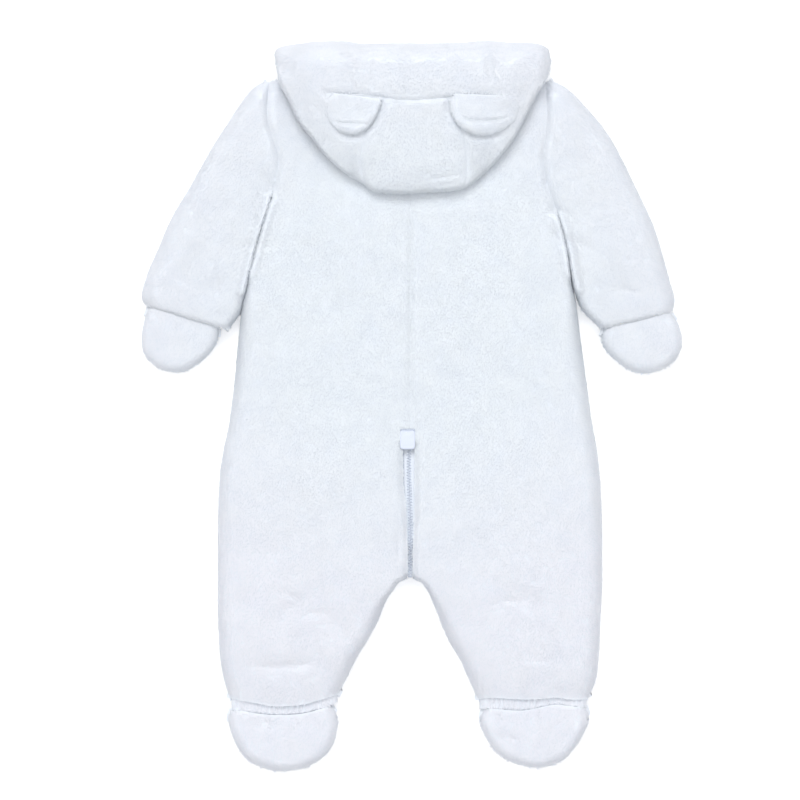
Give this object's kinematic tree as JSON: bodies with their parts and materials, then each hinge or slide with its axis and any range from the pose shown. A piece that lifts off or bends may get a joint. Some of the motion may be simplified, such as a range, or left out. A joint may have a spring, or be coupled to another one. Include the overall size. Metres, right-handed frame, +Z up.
{
  "type": "faux fur pramsuit",
  "caption": "Footed and mittened baby suit in pale faux fur with an eared hood and a zip round the crotch, laid flat with its back up.",
  "frame": {"origin": "on the surface it lies on, under the middle of the garment's outline", "axes": "+X to the wearer's right, +Y from the feet towards the head, +Z up from the surface through front and back"},
  "size_m": [0.4586, 0.6226, 0.0575],
  "materials": {
    "faux_fur": "short dense plush pile, very pale blue",
    "guard_cloth": "smooth plain cloth",
    "zip_tape": "woven tape with a coil chain",
    "slider_metal": "satin"
  },
  "bodies": {
    "suit": {"back_left": "faux_fur", "back_right": "faux_fur", "front_left": "faux_fur", "front_right": "faux_fur", "sleeve_left": "faux_fur", "sleeve_right": "faux_fur", "mitten_left_back": "faux_fur", "mitten_left_palm": "faux_fur", "mitten_right_back": "faux_fur", "mitten_right_palm": "faux_fur", "ankle_band_left": "faux_fur", "ankle_band_right": "faux_fur", "foot_left_sole": "faux_fur", "foot_left_upper": "faux_fur", "foot_right_sole": "faux_fur", "foot_right_upper": "faux_fur", "hood_nape": "faux_fur", "hood_centre": "faux_fur", "hood_side_left": "faux_fur", "hood_side_right": "faux_fur", "hood_band": "faux_fur", "hood_throat_left": "faux_fur", "hood_throat_right": "faux_fur", "ear_left": "faux_fur", "ear_right": "faux_fur", "zip_strip": "zip_tape", "zip_guard": "guard_cloth", "zip_slider": "slider_metal"},
    "zip_pull": {"zip_pull": "slider_metal"}
  },
  "joints": [
    {"name": "zip_pull_hinge", "type": "hinge", "parent": "suit", "child": "zip_pull", "pos_m": [-0.0015, 0.2402, 0.00265], "axis": [1, 0, 0], "range_deg": [-4, 150]}
  ]
}
